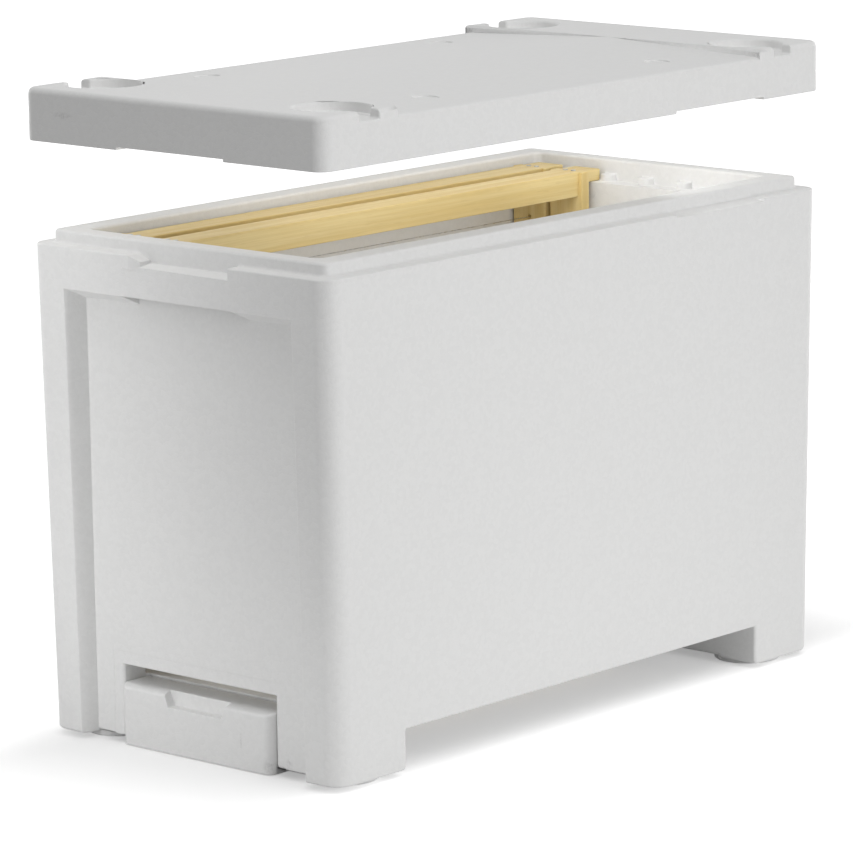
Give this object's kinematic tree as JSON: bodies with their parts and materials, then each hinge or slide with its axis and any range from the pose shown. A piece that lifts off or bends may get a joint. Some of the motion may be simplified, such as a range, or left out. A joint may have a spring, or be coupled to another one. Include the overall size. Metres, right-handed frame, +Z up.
{
  "type": "nuc box",
  "caption": "Insulated foam nucleus hive for bees with a lift-off roof, recessed ends with finger grips, a sliding entrance block, a meshed floor vent and hanging wired frames.",
  "frame": {"origin": "on the ground under the middle of the box", "axes": "+X across the box, +Y along it away from the entrance, +Z up"},
  "size_m": [0.29, 0.554, 0.4727],
  "materials": {
    "foam": "matt moulded bead foam",
    "pine": "planed, unvarnished softwood",
    "steel": "bright drawn wire and nails",
    "brass": "satin",
    "mesh": "dull galvanised",
    "pin": "matt"
  },
  "bodies": {
    "box": {"hive_body": "foam", "floor_mesh": "mesh", "mesh_pins": "pin"},
    "roof": {"roof": "foam"},
    "entrance_block": {"entrance_block": "foam"},
    "frame_a": {"frame_a_top_bar": "pine", "frame_a_front_side_bar": "pine", "frame_a_rear_side_bar": "pine", "frame_a_bottom_bar": "pine", "frame_a_wire": "steel", "frame_a_eyelets": "brass", "frame_a_nails": "steel", "frame_a_tacks": "steel"},
    "frame_b": {"frame_b_top_bar": "pine", "frame_b_front_side_bar": "pine", "frame_b_rear_side_bar": "pine", "frame_b_bottom_bar": "pine", "frame_b_wire": "steel", "frame_b_eyelets": "brass", "frame_b_nails": "steel", "frame_b_tacks": "steel"}
  },
  "joints": [
    {"name": "roof_lift", "type": "slide", "parent": "box", "child": "roof", "axis": [0, 0, 1], "range_m": [-0.0734, 0.1]},
    {"name": "entrance_block_slide", "type": "slide", "parent": "box", "child": "entrance_block", "axis": [0, -1, 0], "range_m": [0, 0.07]},
    {"name": "frame_a_lift", "type": "slide", "parent": "box", "child": "frame_a", "axis": [0, 0, 1], "range_m": [0, 0.0062]},
    {"name": "frame_b_lift", "type": "slide", "parent": "box", "child": "frame_b", "axis": [0, 0, 1], "range_m": [0, 0.0062]}
  ]
}
